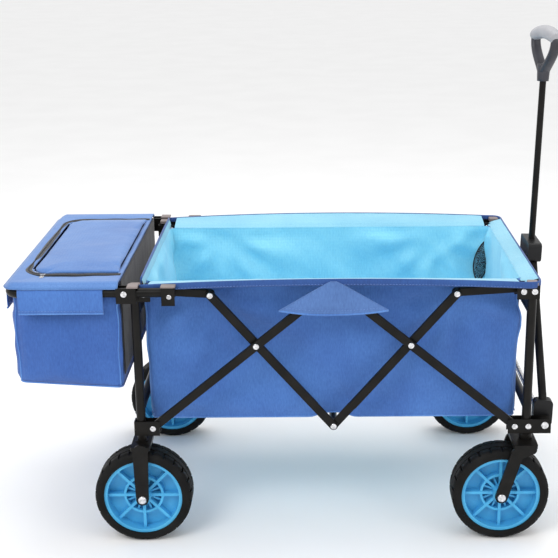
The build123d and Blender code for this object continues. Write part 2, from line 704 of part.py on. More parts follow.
def d_grip():
    """A moulded grip: a socket on the pole that splits into two arms under a cross bar."""
    half = GRIP_WIDTH / 2
    bar_z = GRIP_TOP - 15
    left_arm = [(0, GRIP_BOTTOM + 34), (-half + 24, bar_z - 52), (-half + 9, bar_z)]
    grip = Pos(0, 0, GRIP_BOTTOM + 18) * Cone(13, 15, 36)
    grip += rod((0, -half + 2, bar_z), (0, half - 2, bar_z), 15)
    for side in (-1, 1):
        for (y0, z0), (y1, z1) in zip(left_arm, left_arm[1:]):
            grip += rod((0, side * y0, z0), (0, side * y1, z1), 9)
            grip += Pos(0, side * y1, z1) * Sphere(9)
    grip -= rod((0, 0, GRIP_BOTTOM - 1), (0, 0, POLE_TOP + 0.2), POLE_RADIUS + 0.05)
    return leaned([Pos(HANDLE_AXLE[0], 0, 0) * Rot(0, 0, GRIP_TURN) * grip])


def save(node, solids):
    """Write one node's solids, moved so that the origin lies under the middle of the cart."""
    moved = [Pos(SHIFT_X, 0, 0) * solid for solid in solids]
    shape = moved[0] if len(moved) == 1 else Compound(moved)
    export_step(shape, f"parts/{node}.step")


def nodes():
    """Every node's name with its solids, body by body."""
    model = {
        "rear_posts": posts(),
        "rear_low_cross_tube": cross_tube(LOW_CROSS_Z),
        "rear_high_cross_tube": cross_tube(HIGH_CROSS_Z),
        "rear_post_caps": post_caps(),
        "rear_upper_brackets": upper_brackets(),
        "rear_lower_brackets": rear_lower_brackets(),
        "rear_frame_rivets": frame_rivets(False),
        "rear_forks": rear_forks(),
        "rear_axles": pair(*axles(-POST_X)),
        "basket_tub": basket_tub(),
        "floor_board": floor_board(),
        "side_flaps": side_flaps(),
        "cooler_saddles": cooler_saddles(),
        "saddle_rivets": saddle_rivets(),
        "front_posts": front(posts(SOCKET_TOP)),
        "front_low_cross_tube": front(cross_tube(LOW_CROSS_Z)),
        "front_high_cross_tube": front(cross_tube(HIGH_CROSS_Z)),
        "front_post_caps": front(post_caps()),
        "front_upper_brackets": front(upper_brackets()),
        "front_lower_brackets": front_lower_brackets(),
        "front_frame_rivets": front(frame_rivets(True)),
        "caster_sockets": caster_sockets(),
        "handle_axle": handle_axle(),
        "rear_long_bars": long_bars("outer"),
        "rear_long_bar_rivets": long_bar_rivets(True),
        "front_long_bars": front(long_bars("inner")),
        "front_long_bar_rivets": front(long_bar_rivets(False)),
        "rear_short_bars": short_bars("outer"),
        "rear_short_bar_rivets": stub_end_rivets() + centre_low_rivets(),
        "front_short_bars": front(short_bars("inner")),
        "front_short_bar_rivets": front(stub_end_rivets()),
        "centre_cross_tube": centre_cross_tube(),
        "rear_stub_links": stub_links(),
        "front_stub_links": front(stub_links()),
        "cooler_rack": cooler_rack(),
        "stub_hooks": stub_hooks(),
        "rack_covers": rack_covers(),
        "cooler_bag": cooler_bag(),
        "cooler_back_panel": cooler_back_panel(),
        "cooler_sleeves": cooler_sleeves(),
        "cooler_lid": cooler_lid(),
        "zip_slider": zip_slider(),
        "handle_feet": handle_feet(),
        "handle_legs": handle_legs(),
        "handle_block": handle_block(),
        "handle_pole": handle_pole(),
        "d_grip": d_grip(),
        "lock_button": lock_button(),
    }
    rim_shape = rim()
    tyre_shape = tyre()
    for name, side in (("right", -1), ("left", 1)):
        model[f"caster_fork_{name}"] = caster_fork(side)
        model[f"caster_axle_{name}"] = one_side(axles(POST_X - CASTER_TRAIL), side)
        for end, x in (("rear", -POST_X), ("front", POST_X - CASTER_TRAIL)):
            model[f"{end}_rim_{name}"] = [wheel_place(x, side) * rim_shape]
            model[f"{end}_tyre_{name}"] = [wheel_place(x, side) * tyre_shape]
    return model


if __name__ == "__main__":
    os.makedirs("parts", exist_ok=True)
    for node_name, node_solids in nodes().items():
        save(node_name, node_solids)
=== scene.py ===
"""The looks of a folding beach cart: cloth, moulded pieces, materials, light and camera."""
import json
from math import atan2, cos, exp, hypot, pi, radians, sin

import bpy
from mathutils import Matrix, Vector, noise


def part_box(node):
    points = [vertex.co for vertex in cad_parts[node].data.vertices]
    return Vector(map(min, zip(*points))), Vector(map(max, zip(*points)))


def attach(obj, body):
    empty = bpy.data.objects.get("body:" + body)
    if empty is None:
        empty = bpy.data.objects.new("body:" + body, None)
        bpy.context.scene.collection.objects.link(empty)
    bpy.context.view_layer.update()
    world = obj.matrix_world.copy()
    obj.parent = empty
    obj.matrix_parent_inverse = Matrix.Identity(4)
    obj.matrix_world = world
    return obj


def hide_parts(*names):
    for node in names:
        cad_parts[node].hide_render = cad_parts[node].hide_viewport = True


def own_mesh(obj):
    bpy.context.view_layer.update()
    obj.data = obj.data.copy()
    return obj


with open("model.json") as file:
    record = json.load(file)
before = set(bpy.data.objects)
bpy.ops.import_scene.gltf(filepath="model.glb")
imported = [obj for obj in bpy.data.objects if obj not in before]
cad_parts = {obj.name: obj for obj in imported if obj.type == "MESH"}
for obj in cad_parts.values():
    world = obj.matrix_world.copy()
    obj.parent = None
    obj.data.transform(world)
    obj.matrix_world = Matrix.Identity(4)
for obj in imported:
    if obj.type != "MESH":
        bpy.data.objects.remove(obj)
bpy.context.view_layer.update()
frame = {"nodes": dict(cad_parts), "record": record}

# The camera's place (from the basket's middle), aim and lens
CAMERA_PLACE = (-0.0447, -2.644, 1.2536)
CAMERA_PITCH = 17.39
CAMERA_YAW = 0.33
CAMERA_ROLL = -0.5
CAMERA_LENS = 79.3
CAMERA_SHIFT = (-0.0458, 0.0466)

# The cloth's thickness, and the colours as linear RGB
CLOTH = 0.003
ROYAL = (0.058, 0.165, 0.470)
ROYAL_DEEP = (0.040, 0.120, 0.380)
# The bag colours are the royal cloth darkened a little: painted shade on the bag's sides.
BAG_PAINTED_SHADE = (0.046, 0.138, 0.430)
BAG_DEEP_PAINTED_SHADE = (0.032, 0.100, 0.345)
# The hem colours are the royal cloth darkened: painted shade along the rim's bound edge.
HEM_PAINTED_SHADE = (0.024, 0.083, 0.280)
HEM_DEEP_PAINTED_SHADE = (0.017, 0.060, 0.225)
SKY = (0.280, 0.690, 0.845)
SKY_DEEP = (0.220, 0.610, 0.800)
# The flare colours are the sky lining darkened: painted shade on the lining's upward-facing top edge.
FLARE_PAINTED_SHADE = (0.215, 0.500, 0.640)
FLARE_DEEP_PAINTED_SHADE = (0.170, 0.440, 0.590)
CHARCOAL = (0.007, 0.007, 0.008)
PIPING = (0.110, 0.260, 0.600)
THREAD = (0.150, 0.270, 0.620)

# Basket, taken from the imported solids
TUB_LOW, TUB_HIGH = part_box("basket_tub")
STUB_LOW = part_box("front_stub_links")[0]
BAR_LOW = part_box("rear_long_bars")[0]
POST_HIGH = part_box("front_posts")[1]
REAR_POST_LOW, REAR_POST_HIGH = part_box("rear_posts")
MIDDLE_X = (TUB_LOW.x + TUB_HIGH.x) / 2
HALF_X = (TUB_HIGH.x - TUB_LOW.x) / 2
HALF_Y = -STUB_LOW.y - 0.0315
WALL_TOP = TUB_LOW.z + 0.293
FLARE_Y = HALF_Y - CLOTH - 0.0013
FLARE_Z = WALL_TOP - 0.002
HEM_HEIGHT = 0.014
HEM_THICKNESS = 0.0034
HEM_Y = -BAR_LOW.y + 0.0055
HEM_FRONT = POST_HIGH.x + 0.0068
RIM_CENTRE_Z = TUB_HIGH.z
RIM_CORNER_Z = TUB_HIGH.z - 0.0095
CORNER_RADIUS = 0.018
HANG = 0.010
TUCK = 0.003
BULGE_LIMIT = 0.009
PIPING_RADIUS = 0.0018
FLOOR_PADS = 4
PAD_THICKNESS = 0.009
PAD_TOP = TUB_LOW.z + 0.0145
PAD_GAP = 0.002
CLOTH_STEP = 0.009


# Materials

def new_material(name):
    material = bpy.data.materials.new(name)
    material.use_nodes = True
    tree = material.node_tree
    return material, tree, tree.nodes["Principled BSDF"]


def node(tree, kind, **values):
    made = tree.nodes.new(kind)
    for key, value in values.items():
        if key in made.inputs:
            made.inputs[key].default_value = value
        else:
            setattr(made, key, value)
    return made


def mapped_noise(tree, scale, detail=3.0, stretch=(1, 1, 1)):
    """Noise over the object's own coordinates."""
    place = node(tree, "ShaderNodeTexCoord")
    mapping = node(tree, "ShaderNodeMapping")
    mapping.inputs["Scale"].default_value = stretch
    texture = node(tree, "ShaderNodeTexNoise", Scale=scale, Detail=detail)
    tree.links.new(place.outputs["Object"], mapping.inputs["Vector"])
    tree.links.new(mapping.outputs["Vector"], texture.inputs["Vector"])
    return texture


def two_colours(tree, factor, dark, light, low=0.35, high=0.65):
    ramp = node(tree, "ShaderNodeValToRGB")
    ramp.color_ramp.elements[0].position = low
    ramp.color_ramp.elements[1].position = high
    ramp.color_ramp.elements[0].color = (*dark, 1)
    ramp.color_ramp.elements[1].color = (*light, 1)
    tree.links.new(factor, ramp.inputs["Fac"])
    return ramp


def tint(tree, shader, texture, dark, light, low=0.35, high=0.65):
    """Colour a shader between two shades by a texture."""
    colour = two_colours(tree, texture.outputs["Fac"], dark, light, low, high)
    tree.links.new(colour.outputs["Color"], shader.inputs["Base Color"])


def bump(tree, height, strength, distance, below=None):
    made = node(tree, "ShaderNodeBump", Strength=strength, Distance=distance)
    tree.links.new(height, made.inputs["Height"])
    if below is not None:
        tree.links.new(below.outputs["Normal"], made.inputs["Normal"])
    return made


def skin(tree, shader, texture, strength, distance):
    """Give a shader a fine relief from a texture."""
    relief = bump(tree, texture.outputs["Fac"], strength, distance)
    tree.links.new(relief.outputs["Normal"], shader.inputs["Normal"])


def weave_height(tree, pitch):
    """Threads along all three axes; on a flat panel two of them show, as a plain weave."""
    place = node(tree, "ShaderNodeTexCoord")
    total = None
    for direction in ("X", "Y", "Z"):
        wave = node(tree, "ShaderNodeTexWave", Scale=1 / pitch / 20, Distortion=0.6, Detail=1.0)
        wave.bands_direction = direction
        tree.links.new(place.outputs["Object"], wave.inputs["Vector"])
        if total is None:
            total = wave.outputs["Fac"]
            continue
        add = node(tree, "ShaderNodeMath", operation="ADD")
        tree.links.new(total, add.inputs[0])
        tree.links.new(wave.outputs["Fac"], add.inputs[1])
        total = add.outputs["Value"]
    return total


def fabric(name, light, dark, pitch=0.0011, roughness=0.72, sheen=0.25):
    """Woven polyester: mottled dye, threads, and soft handling creases."""
    material, tree, shader = new_material(name)
    blotches = mapped_noise(tree, 6.0, 2.0)
    colour = two_colours(tree, blotches.outputs["Fac"], dark, light)
    slubs = mapped_noise(tree, 420.0, 2.0, (1, 1, 0.25))
    mix = node(tree, "ShaderNodeMix", data_type="RGBA", blend_type="SOFT_LIGHT")
    mix.inputs["Factor"].default_value = 0.35
    tree.links.new(colour.outputs["Color"], mix.inputs[6])
    tree.links.new(slubs.outputs["Fac"], mix.inputs[7])
    tree.links.new(mix.outputs[2], shader.inputs["Base Color"])
    creases = mapped_noise(tree, 16.0, 6.0, (1, 1, 0.6))
    crease_bump = bump(tree, creases.outputs["Fac"], 0.42, 0.008)
    thread_bump = bump(tree, weave_height(tree, pitch), 0.30, 0.0004, crease_bump)
    tree.links.new(thread_bump.outputs["Normal"], shader.inputs["Normal"])
    shader.inputs["Roughness"].default_value = roughness
    shader.inputs["Sheen Weight"].default_value = sheen
    shader.inputs["Sheen Roughness"].default_value = 0.5
    shader.inputs["Specular IOR Level"].default_value = 0.3
    return material


def powder_coat():
    """Satin black coating with fine orange peel and slightly rubbed patches."""
    material, tree, shader = new_material("powder_coat")
    rub = mapped_noise(tree, 30.0, 5.0)
    tint(tree, shader, rub, (0.0035, 0.0033, 0.0030), (0.0085, 0.0075, 0.0065))
    rough = node(tree, "ShaderNodeMapRange")
    rough.inputs["To Min"].default_value = 0.26
    rough.inputs["To Max"].default_value = 0.42
    tree.links.new(rub.outputs["Fac"], rough.inputs["Value"])
    tree.links.new(rough.outputs["Result"], shader.inputs["Roughness"])
    skin(tree, shader, mapped_noise(tree, 900.0, 2.0), 0.18, 0.0003)
    shader.inputs["Specular IOR Level"].default_value = 0.16
    return material


def zinc():
    """Bright zinc plate with turning marks."""
    material, tree, shader = new_material("zinc_plate")
    tint(tree, shader, mapped_noise(tree, 160.0, 4.0), (0.42, 0.42, 0.43), (0.80, 0.80, 0.82))
    skin(tree, shader, mapped_noise(tree, 700.0, 2.0, (1, 0.1, 1)), 0.2, 0.0002)
    shader.inputs["Metallic"].default_value = 1.0
    shader.inputs["Roughness"].default_value = 0.27
    return material


def moulding(name, dark, light, roughness=0.42, grain=1400.0, depth=0.25):
    """Moulded plastic with a fine spark-eroded grain and faint flow marks."""
    material, tree, shader = new_material(name)
    tint(tree, shader, mapped_noise(tree, 12.0, 3.0, (1, 1, 2)), dark, light, 0.3, 0.7)
    skin(tree, shader, mapped_noise(tree, grain, 2.0), depth, 0.0003)
    shader.inputs["Roughness"].default_value = roughness
    shader.inputs["Specular IOR Level"].default_value = 0.25
    return material


def rubber():
    """Tyre rubber with a dusty bloom and a pebbled skin."""
    material, tree, shader = new_material("tyre_rubber")
    dust = mapped_noise(tree, 22.0, 6.0)
    tint(tree, shader, dust, (0.004, 0.004, 0.004), (0.011, 0.0105, 0.010), 0.4, 0.75)
    skin(tree, shader, mapped_noise(tree, 380.0, 3.0), 0.45, 0.0006)
    shader.inputs["Roughness"].default_value = 0.62
    shader.inputs["Specular IOR Level"].default_value = 0.14
    return material


def coloured_thread():
    """Twisted sewing thread."""
    material, tree, shader = new_material("sewing_thread")
    twist = node(tree, "ShaderNodeTexWave", Scale=180.0, Distortion=1.0)
    twist.bands_direction = "DIAGONAL"
    place = node(tree, "ShaderNodeTexCoord")
    tree.links.new(place.outputs["Object"], twist.inputs["Vector"])
    tint(tree, shader, twist, tuple(0.7 * part for part in THREAD), THREAD, 0.2, 0.8)
    shader.inputs["Roughness"].default_value = 0.6
    return material


def netting():
    """Dark mesh cloth with see-through holes."""
    material, tree, shader = new_material("pocket_net")
    place = node(tree, "ShaderNodeTexCoord")
    cells = node(tree, "ShaderNodeTexVoronoi", Scale=330.0)
    cells.feature = "DISTANCE_TO_EDGE"
    tree.links.new(place.outputs["Object"], cells.inputs["Vector"])
    holes = node(tree, "ShaderNodeMath", operation="LESS_THAN")
    holes.inputs[1].default_value = 0.16
    tree.links.new(cells.outputs["Distance"], holes.inputs[0])
    tree.links.new(holes.outputs["Value"], shader.inputs["Alpha"])
    tint(tree, shader, mapped_noise(tree, 60.0, 2.0), CHARCOAL, (0.03, 0.03, 0.035))
    shader.inputs["Roughness"].default_value = 0.8
    return material


# Mesh helpers

def mesh_piece(name, points, faces, material, body, smooth=True):
    mesh = bpy.data.meshes.new(name)
    mesh.from_pydata([tuple(point) for point in points], [], faces)
    mesh.validate()
    mesh.materials.append(material)
    mesh.polygons.foreach_set("use_smooth", [smooth] * len(mesh.polygons))
    piece = bpy.data.objects.new(name, mesh)
    bpy.context.scene.collection.objects.link(piece)
    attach(piece, body)
    return piece


def grid_faces(rows, columns, wrap=False, start=0):
    """Quads between rows of points; wrap joins each row's last point to its first."""
    faces = []
    last = columns if wrap else columns - 1
    for row in range(rows - 1):
        for column in range(last):
            here = start + row * columns + column
            right = start + row * columns + (column + 1) % columns
            faces.append((here, right, right + columns, here + columns))
    return faces


def grid_piece(name, points, rows, material, body):
    """A sheet through rows of points."""
    return mesh_piece(name, points, grid_faces(rows, len(points) // rows), material, body)


def thicken(piece, thickness, offset=-1.0):
    """Give a sheet its cloth thickness with a solidify modifier, applied."""
    modifier = piece.modifiers.new("thickness", "SOLIDIFY")
    modifier.thickness = thickness
    modifier.offset = offset
    return apply_modifiers(piece)


def smoothed(piece):
    """One level of subdivision, applied."""
    modifier = piece.modifiers.new("smooth", "SUBSURF")
    modifier.levels = 1
    modifier.render_levels = 1
    return apply_modifiers(piece)


def apply_modifiers(piece):
    graph = bpy.context.evaluated_depsgraph_get()
    graph.update()
    mesh = bpy.data.meshes.new_from_object(piece.evaluated_get(graph))
    piece.modifiers.clear()
    piece.data = mesh
    return piece


CLOTH_FRAMES = 20


def puff(piece, voxel, cap):
    """Blow a closed pad up a little as cloth under pressure, moving no point further than the cap."""
    even = piece.modifiers.new("even", "REMESH")
    even.mode = "VOXEL"
    even.voxel_size = voxel
    apply_modifiers(piece)
    rest = [point.co.copy() for point in piece.data.vertices]
    cloth = piece.modifiers.new("air", "CLOTH")
    cloth.settings.use_pressure = True
    cloth.settings.uniform_pressure_force = 4
    cloth.settings.effector_weights.gravity = 0
    for step in range(1, CLOTH_FRAMES + 1):
        bpy.context.scene.frame_set(step)
    apply_modifiers(piece)
    for point, start in zip(piece.data.vertices, rest):
        move = point.co - start
        if move.length > cap:
            point.co = start + move.normalized() * cap
    bpy.context.scene.frame_set(1)
    smoothed(piece)
    piece.data.polygons.foreach_set("use_smooth", [True] * len(piece.data.polygons))


def sweep(name, path, section, material, body, closed=False, up=(0, 0, 1), scale=None):
    """A section of (side, up) points swept along a path, with capped ends unless closed."""
    points = []
    count = len(path)
    for index, place in enumerate(path):
        before = path[index - 1] if index or closed else place
        after = path[(index + 1) % count] if index < count - 1 or closed else place
        along = (Vector(after) - Vector(before)).normalized()
        side = along.cross(Vector(up))
        side = side.normalized() if side.length > 1e-6 else Vector((1, 0, 0))
        over = side.cross(along)
        grow = scale(index / max(count - 1, 1)) if scale else (1, 1)
        for across, high in section:
            points.append(Vector(place) + side * across * grow[0] + over * high * grow[1])
    width = len(section)
    faces = grid_faces(count, width, wrap=True)
    if closed:
        for column in range(width):
            here = (count - 1) * width + column
            right = (count - 1) * width + (column + 1) % width
            faces.append((here, right, (column + 1) % width, column))
    else:
        faces.append(tuple(reversed(range(width))))
        faces.append(tuple(range((count - 1) * width, count * width)))
    return mesh_piece(name, points, faces, material, body)


def round_section(half_width, half_height, count=12, power=2.0):
    """A superellipse section; a higher power is squarer."""
    section = []
    for index in range(count):
        angle = 2 * pi * index / count
        c = abs(cos(angle)) ** (2 / power) * (1 if cos(angle) >= 0 else -1)
        s = abs(sin(angle)) ** (2 / power) * (1 if sin(angle) >= 0 else -1)
        section.append((half_width * c, half_height * s))
    return section


def spread(path, step):
    """Points a step apart along a path."""
    found = [Vector(path[0])]
    left = step
    for start, end in zip(path, path[1:]):
        start, end = Vector(start), Vector(end)
        length = (end - start).length
        at = left
        while at <= length:
            found.append(start.lerp(end, at / length))
            at += step
        left = at - length
    return found


def stitches(name, path, material, body, pitch=0.0065, length=0.0042, radius=0.00042):
    """A row of raised stitches along a path, as one mesh."""
    points = []
    faces = []
    places = spread(path, pitch)
    for place, after in zip(places, places[1:]):
        along = (after - place).normalized()
        side = along.orthogonal().normalized()
        over = along.cross(side)
        start = len(points)
        for at, size in ((0, 0.4), (0.25, 1.0), (0.75, 1.0), (1.0, 0.4)):
            centre = place + along * length * at
            for turn in range(6):
                angle = turn * pi / 3
                points.append(centre + (side * cos(angle) + over * sin(angle)) * radius * size)
        faces += grid_faces(4, 6, wrap=True, start=start)
    return mesh_piece(name, points, faces, material, body)


def rounded_loop(x_range, y_range, radius, step):
    """A closed rounded rectangle as (x, y, outward x, outward y), counter-clockwise."""
    (x0, x1), (y0, y1) = x_range, y_range
    centres = ((x1 - radius, y0 + radius), (x1 - radius, y1 - radius),
               (x0 + radius, y1 - radius), (x0 + radius, y0 + radius))
    loop = []
    for index, centre in enumerate(centres):
        start = 90 * (index - 1)
        for part in range(5):
            angle = radians(start + 90 * part / 4)
            out = (cos(angle), sin(angle))
            loop.append((centre[0] + radius * out[0], centre[1] + radius * out[1], *out))
        after = centres[(index + 1) % 4]
        out = (cos(radians(start + 90)), sin(radians(start + 90)))
        begin = (centre[0] + radius * out[0], centre[1] + radius * out[1])
        end = (after[0] + radius * out[0], after[1] + radius * out[1])
        count = max(2, round(hypot(end[0] - begin[0], end[1] - begin[1]) / step))
        for part in range(1, count):
            share = part / count
            loop.append((begin[0] + (end[0] - begin[0]) * share,
                         begin[1] + (end[1] - begin[1]) * share, *out))
    return loop


def ramp(value, low, high):
    """A smooth step from 0 at low to 1 at high."""
    share = min(max((value - low) / (high - low), 0), 1)
    return share * share * (3 - 2 * share)


def soft_noise(x, y, seed, scale):
    return noise.noise(Vector((x * scale, y * scale, seed)))


# Basket

def rim_height(x):
    """The rim bows up towards the middle of each side."""
    share = min(abs(x - MIDDLE_X) / HALF_X, 1)
    return RIM_CORNER_Z + (RIM_CENTRE_Z - RIM_CORNER_Z) * (1 - share ** 2)


def pull_folds(x, z, side):
    """Shallow folds that fan out from the linkage's upper joints and from the posts."""
    depth = 0.0
    for centre_x in (MIDDLE_X - 0.25, MIDDLE_X + 0.25):
        dx, dz = x - centre_x, z - STUB_LOW.z
        reach = hypot(dx, dz)
        fan = sin(atan2(dz, dx) * 9 + side)
        depth += 0.0055 * fan * exp(-((reach - 0.10) / 0.09) ** 2) * ramp(reach, 0.03, 0.09)
    for centre_x in (TUB_LOW.x, TUB_HIGH.x):
        gap = abs(x - centre_x)
        depth += 0.0060 * sin(gap * 70 + z * 8 + side) * exp(-gap / 0.08) * ramp(gap, 0.0, 0.02)
    return depth


def hang(x):
    """How far the tub's bottom edge hangs below its floor: nothing over the centre tube."""
    return HANG * ramp(abs(x - MIDDLE_X), 0.014, 0.05)


def wall_relief(x, y, z, out_x, out_y):
    """How far the tub's cloth stands in or out of its flat wall at a point."""
    height = (z - TUB_LOW.z) / (WALL_TOP - TUB_LOW.z)
    free = ramp(height, 0, 0.12) * (1 - ramp(height, 0.9, 1.0))
    crease = 0.0
    if out_y > 0.5:
        off_line = ((x - TUB_HIGH.x) * 0.62 - (z - WALL_TOP) * 0.78) + 0.02
        crease = 0.007 * exp(-(off_line / 0.014) ** 2) * ramp(x, MIDDLE_X + 0.1, TUB_HIGH.x - 0.05)
    along = x if abs(out_y) > 0.5 else y
    drift = 0.018 * soft_noise(along, z, 3.1 + out_y + 2 * out_x, 6.0) - 0.001
    drift += 0.0065 * soft_noise(along + z, z * 0.5, 7.7 + out_y, 17.0)
    folds = pull_folds(x, z, out_y) if abs(out_y) > 0.5 else 0.0018 * sin(along * 34 + 3 * z)
    most = BULGE_LIMIT if abs(out_y) > 0.5 else 0.0
    return min(free * (drift + folds - crease), most) - 0.001


def tub_wall(name, inset, material):
    """The tub's upright cloth; the lining is the inset one, and starts a little higher."""
    rows = 34
    low = TUB_LOW.z + 0.002
    loop = rounded_loop((TUB_LOW.x + 0.001, TUB_HIGH.x - 0.001), (-HALF_Y, HALF_Y), CORNER_RADIUS,
                        CLOTH_STEP)
    first = 0.05 if inset else 0.0
    points = []
    for row in range(rows):
        share = first + (1 - first) * row / (rows - 1)
        tuck = TUCK * (1 - ramp(share, 0, 0.06))
        for x, y, out_x, out_y in loop:
            z = low + (WALL_TOP - low) * share - hang(x) * (1 - share)
            move = wall_relief(x, y, z, out_x, out_y) - tuck - inset
            points.append((x + out_x * move, y + out_y * move, z))
    wall = mesh_piece(name, points, grid_faces(rows, len(loop), wrap=True), material,
                      "rear_frame")
    return wall, piped_edges(loop, points, rows)


def piped_edges(loop, points, rows):
    """The lines that piping follows on a wall: its bottom edge, and the middle of each corner."""
    count = len(loop)
    corners = [column for column, (_, _, out_x, out_y) in enumerate(loop)
               if abs(abs(out_x) - abs(out_y)) < 0.01]
    lines = [[points[row * count + column] for row in range(rows)] for column in corners]
    return points[:count], lines


def tub_underside(material):
    """The tub's own floor cloth, sewn to the bottom of the walls."""
    columns, rows = 60, 38
    reach_x, reach_y = HALF_X - 0.003, HALF_Y - 0.003
    points = []
    for row in range(rows):
        y = reach_y * (1 - 2 * row / (rows - 1))
        for column in range(columns):
            x = MIDDLE_X + reach_x * (2 * column / (columns - 1) - 1)
            points.append((x, y, TUB_LOW.z + 0.003 + 0.001 * soft_noise(x, y, 5.5, 9.0)))
    return grid_piece("tub_underside", points, rows, material, "rear_frame")


def floor_pads(material):
    """The padded floor board: four stiffened pads side by side, so that the floor can fold."""
    pads = []
    columns, rows = 20, 44
    width = 2 * (HALF_X - 0.012) / FLOOR_PADS
    reach_y = HALF_Y - 0.014
    for index in range(FLOOR_PADS):
        first_x = MIDDLE_X - HALF_X + 0.012 + index * width
        points = []
        for row in range(rows):
            y = reach_y * (1 - 2 * row / (rows - 1))
            for column in range(columns):
                x = first_x + PAD_GAP + (width - 2 * PAD_GAP) * column / (columns - 1)
                points.append((x, y, PAD_TOP))
        pad = grid_piece(f"floor_pad_{index + 1}", points, rows, material, "rear_frame")
        thicken(pad, PAD_THICKNESS, 1.0)
        puff(pad, 0.005, 0.005)
        pads.append(pad)
    return pads


def rim_route():
    """The rim's outer line: along both sides and around the front posts, open at the rear."""
    radius = 0.022
    rear_x = REAR_POST_HIGH.x + 0.0015
    route = []
    for side in (-1, 1):
        run = HEM_FRONT - radius - rear_x
        part = [(rear_x + run * index / 60, side * HEM_Y) for index in range(61)]
        for index in range(1, 7):
            angle = radians(90 * index / 6)
            part.append((HEM_FRONT - radius + radius * sin(angle),
                         side * (HEM_Y - radius + radius * cos(angle))))
        route.append(part)
    across = [(HEM_FRONT, -(HEM_Y - radius) + 2 * (HEM_Y - radius) * index / 40) for index in range(1, 40)]
    return route[0] + across + list(reversed(route[1]))


def rim_hem(material):
    """The bound edge of the tub: a flat folded band that stands on edge all along the rim."""
    path = [(x, y, rim_height(x) - HEM_HEIGHT / 2) for x, y in rim_route()]
    section = round_section(HEM_THICKNESS / 2, HEM_HEIGHT / 2, 12, 3.2)
    return sweep("rim_hem", path, section, material, "rear_frame")


def rear_hem(material):
    """The bound edge across the rear wall, between the posts."""
    reach = -REAR_POST_LOW.y - 0.024
    across = [-reach + 2 * reach * index / 40 for index in range(41)]
    path = [(TUB_LOW.x - 0.0005, y, RIM_CORNER_Z + 0.002 * cos(pi * y / reach / 2)) for y in across]
    section = round_section(HEM_THICKNESS / 2, HEM_HEIGHT / 2, 12, 3.2)
    return sweep("rear_rim_hem", path, section, material, "rear_frame")


def lining_flare(material):
    """The lining's top edge, which leans out over the side bars to the rim."""
    pieces = []
    rows = 7
    for side in (-1, 1):
        first_x, last_x = TUB_LOW.x + 0.016, TUB_HIGH.x - 0.016
        columns = 90
        points = []
        for row in range(rows):
            share = row / (rows - 1)
            for column in range(columns):
                x = first_x + (last_x - first_x) * column / (columns - 1)
                top = rim_height(x) - 0.0015
                y = FLARE_Y + (HEM_Y - HEM_THICKNESS / 2 - FLARE_Y) * share
                z = FLARE_Z + (top - FLARE_Z) * share ** 0.55
                points.append((x, side * y, z + 0.0005 * soft_noise(x, share, 2.2, 40.0)))
        name = "lining_flare_left" if side > 0 else "lining_flare_right"
        pieces.append(grid_piece(name, points, rows, material, "rear_frame"))
    return pieces


def end_flare(name, wall_x, rim_x, top, material):
    """The lining's top edge at one end, between the posts."""
    rows, columns = 6, 50
    reach = -REAR_POST_LOW.y - 0.026
    points = []
    for row in range(rows):
        share = row / (rows - 1)
        for column in range(columns):
            y = -reach + 2 * reach * column / (columns - 1)
            x = wall_x + (rim_x - wall_x) * share
            z = FLARE_Z + (top - 0.002 - FLARE_Z) * share ** 0.7
            points.append((x, y, z + 0.0006 * soft_noise(y, share, 4.4, 30.0)))
    return grid_piece(name, points, rows, material, "rear_frame")


def side_flap(side, cloth, piping, thread):
    """A triangular pocket of cloth over the top centre joint, with a turned hem."""
    low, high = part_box("side_flaps")
    rows, columns = 18, 33
    apex_z = high.z - 0.006
    points = []
    for row in range(rows):
        share = row / (rows - 1)
        half = 0.006 + 0.104 * share ** 0.92
        for column in range(columns):
            across = 2 * column / (columns - 1) - 1
            x = MIDDLE_X + across * half
            bottom = low.z + 0.005 * across * across * share
            z = apex_z + (bottom - apex_z) * share * (1 - 0.05 * across * across)
            belly = 0.0035 * (1 - across * across) * share + 0.0012 * sin(across * 5 + 4 * share) * share
            y = HEM_Y + HEM_THICKNESS / 2 + 0.0012 + max(belly, 0) + 0.0006 * soft_noise(x, z, 9.0, 60.0)
            points.append((x, side * y, z))
    name = "side_flap_left" if side > 0 else "side_flap_right"
    flap = thicken(grid_piece(name, points, rows, cloth, "rear_frame"), 0.0016, 0.0)
    hem = [points[(rows - 1) * columns + column] for column in range(columns)]
    slopes = [points[row * columns] for row in reversed(range(rows))]
    slopes += [points[row * columns + columns - 1] for row in range(rows)]
    edge = sweep(f"{name}_hem", hem, round_section(0.0015, 0.0020, 10, 2.6), piping,
                 "rear_frame")
    rolled = sweep(f"{name}_rolled_edge", slopes, round_section(0.0013, 0.0015, 8), cloth,
                   "rear_frame", up=(0, 1, 0))
    lift = 0.0016 * side
    seam = [(x, y + lift, z + 0.009) for x, y, z in hem[2:-2]]
    row_of_thread = stitches(f"{name}_stitches", seam, thread, "rear_frame")
    return [flap, edge, rolled, row_of_thread]


def net_pocket(material, binding):
    """A small leaf-shaped net pocket at the front inner corner, on the left side wall."""
    centre = Vector((TUB_HIGH.x - 0.022, HALF_Y - CLOTH - 0.006, 0.462))
    rows, columns = 14, 9
    points = []
    for row in range(rows):
        share = row / (rows - 1)
        half = 0.017 * sin(pi * share) ** 0.8 + 0.0008
        for column in range(columns):
            across = 2 * column / (columns - 1) - 1
            belly = 0.010 * (1 - across * across) * sin(pi * share)
            x = across * half + 0.012 * (share - 0.5)
            points.append(centre + Vector((x, -belly, 0.050 * (share - 0.5) * 2)))
    pocket = grid_piece("net_pocket", points, rows, material, "rear_frame")
    edge = [points[row * columns] for row in range(rows)]
    edge += [points[row * columns + columns - 1] for row in reversed(range(rows))]
    bound = sweep("net_pocket_binding", edge, round_section(0.0016, 0.0016, 8), binding,
                  "rear_frame", up=(0, 1, 0))
    return [pocket, bound]


